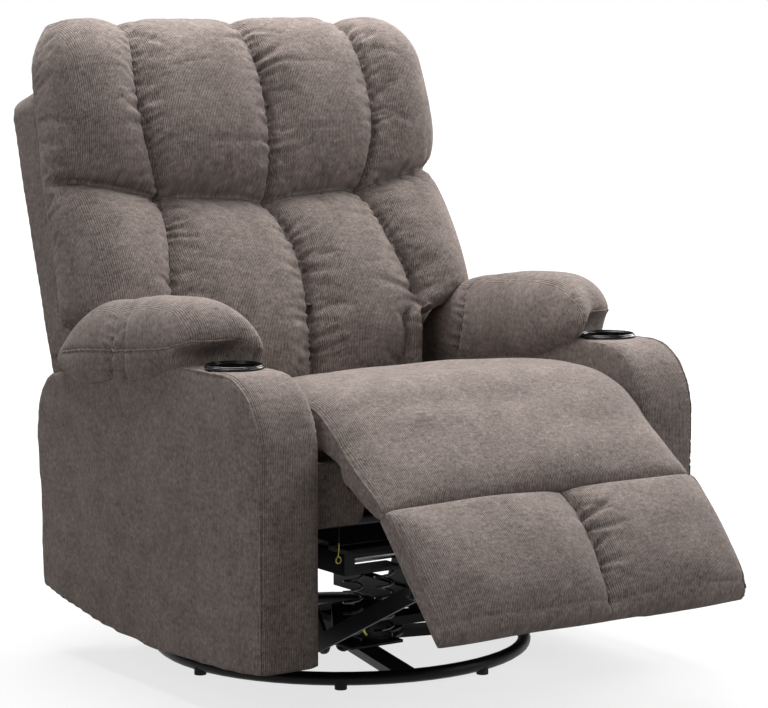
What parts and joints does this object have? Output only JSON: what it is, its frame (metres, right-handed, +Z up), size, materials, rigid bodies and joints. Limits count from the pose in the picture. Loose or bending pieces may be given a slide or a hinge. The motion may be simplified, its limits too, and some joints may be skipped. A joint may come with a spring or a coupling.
{
  "type": "swivel rocker recliner",
  "caption": "Upholstered armchair on a round base that turns and rocks, with a tufted back that leans back, a hinged legrest on a linkage and cup wells in its padded arms.",
  "frame": {"origin": "on the floor under the middle of the chair's box", "axes": "+Z up, -Y the way the sitter faces, -X the sitter's right"},
  "size_m": [0.884, 1.1994, 1.0607],
  "materials": {
    "taupe_chenille": "ribbed taupe chenille",
    "black_steel": "black gloss paint",
    "bare_steel": "plain machined steel",
    "black_plastic": "moulded, glossy",
    "white_nylon": "moulded nylon",
    "black_rubber": "moulded rubber",
    "plywood": "sanded plywood",
    "spring_steel": "oil-tempered wire"
  },
  "bodies": {
    "base": {"base_ring": "black_steel", "base_cross": "black_steel", "base_foot_1": "black_rubber", "base_foot_2": "black_rubber", "base_foot_3": "black_rubber", "base_foot_4": "black_rubber", "base_foot_5": "black_rubber", "base_foot_6": "black_rubber", "swivel_lower_plate": "black_steel", "swivel_bearing": "white_nylon", "swivel_pin": "bare_steel"},
    "carriage": {"swivel_upper_plate": "black_steel", "carriage_cross_front": "black_steel", "carriage_cross_rear": "black_steel", "carriage_rail_right": "black_steel", "carriage_rail_left": "black_steel", "rocker_axle": "bare_steel", "rocker_spring_right_inner": "spring_steel", "rocker_spring_right_outer": "spring_steel", "rocker_spring_left_inner": "spring_steel", "rocker_spring_left_outer": "spring_steel", "spring_bracket_right": "black_steel", "spring_bracket_left": "black_steel"},
    "frame": {"frame_rail_right": "black_steel", "frame_rail_left": "black_steel", "cross_tube_front": "black_steel", "cross_tube_rear": "black_steel", "right_arm": "taupe_chenille", "left_arm": "taupe_chenille", "right_arm_pad": "taupe_chenille", "left_arm_pad": "taupe_chenille", "right_cup_holder": "black_plastic", "left_cup_holder": "black_plastic", "front_apron": "taupe_chenille", "release_bezel": "black_plastic", "release_cable": "black_rubber"},
    "release": {"release_tab": "black_plastic"},
    "seat": {"seat_front_bar": "black_steel", "seat_rear_board": "plywood", "seat_side_board_right": "plywood", "seat_side_board_left": "plywood", "seat_spring_1": "spring_steel", "seat_spring_2": "spring_steel", "seat_spring_3": "spring_steel", "mechanism_plate_right": "black_steel", "mechanism_plate_left": "black_steel", "seat_cushion": "taupe_chenille"},
    "back": {"back_shell": "taupe_chenille", "back_cushion": "taupe_chenille", "back_bracket_right": "black_steel", "back_bracket_left": "black_steel"},
    "flap": {"flap_board": "plywood", "flap_pad": "taupe_chenille"},
    "legrest": {"legrest_board": "plywood", "legrest_pad": "taupe_chenille", "legrest_bracket_right": "black_steel", "legrest_bracket_left": "black_steel"},
    "crank": {"drive_crank": "black_steel"},
    "link_right": {"legrest_link_right": "black_steel"},
    "link_left": {"legrest_link_left": "black_steel"}
  },
  "joints": [
    {"name": "swivel", "type": "hinge", "parent": "base", "child": "carriage", "pos_m": [0, 0.11688, 0.03], "axis": [0, 0, 1], "continuous": true},
    {"name": "rock", "type": "hinge", "parent": "carriage", "child": "frame", "pos_m": [0, 0.11688, 0.15], "axis": [1, 0, 0], "range_deg": [-12, 7], "stiffness_Nm_per_rad": 900, "springref_deg": 0.17, "deforming": ["rocker_spring_right_inner", "rocker_spring_right_outer", "rocker_spring_left_inner", "rocker_spring_left_outer"]},
    {"name": "release_pull", "type": "slide", "parent": "frame", "child": "release", "axis": [0, 0, 1], "range_m": [0, 0.03], "stiffness_N_per_m": 400},
    {"name": "seat_glide", "type": "slide", "parent": "frame", "child": "seat", "axis": [0, -1, 0], "range_m": [0, 0.0452]},
    {"name": "recline", "type": "hinge", "parent": "seat", "child": "back", "pos_m": [0, 0.31688, 0.36], "axis": [-1, 0, 0], "range_deg": [0, 42]},
    {"name": "legrest_lift", "type": "hinge", "parent": "seat", "child": "flap", "pos_m": [0, -0.29312, 0.38], "axis": [1, 0, 0], "range_deg": [-25, 40]},
    {"name": "legrest_panel", "type": "hinge", "parent": "flap", "child": "legrest", "pos_m": [0, -0.41899, 0.32104], "axis": [1, 0, 0], "range_deg": [-18.8, 30.1]},
    {"name": "crank_turn", "type": "hinge", "parent": "seat", "child": "crank", "pos_m": [0, -0.07312, 0.26], "axis": [1, 0, 0], "range_deg": [-36.4, 58.1]},
    {"name": "link_right_turn", "type": "hinge", "parent": "crank", "child": "link_right", "pos_m": [-0.249, -0.18984, 0.09269], "axis": [1, 0, 0], "range_deg": [-53.5, 33.5]},
    {"name": "link_left_turn", "type": "hinge", "parent": "crank", "child": "link_left", "pos_m": [0.249, -0.18984, 0.09269], "axis": [1, 0, 0], "range_deg": [-53.5, 33.5]}
  ],
  "couplings": [
    {"joint": "seat_glide", "follows": "recline", "m_per_rad": 0.0614},
    {"joint": "legrest_panel", "follows": "legrest_lift", "ratio": 0.75},
    {"joint": "crank_turn", "follows": "legrest_lift", "ratio": 1.451},
    {"joint": "link_right_turn", "follows": "legrest_lift", "ratio": -1.334},
    {"joint": "link_left_turn", "follows": "legrest_lift", "ratio": -1.334}
  ]
}
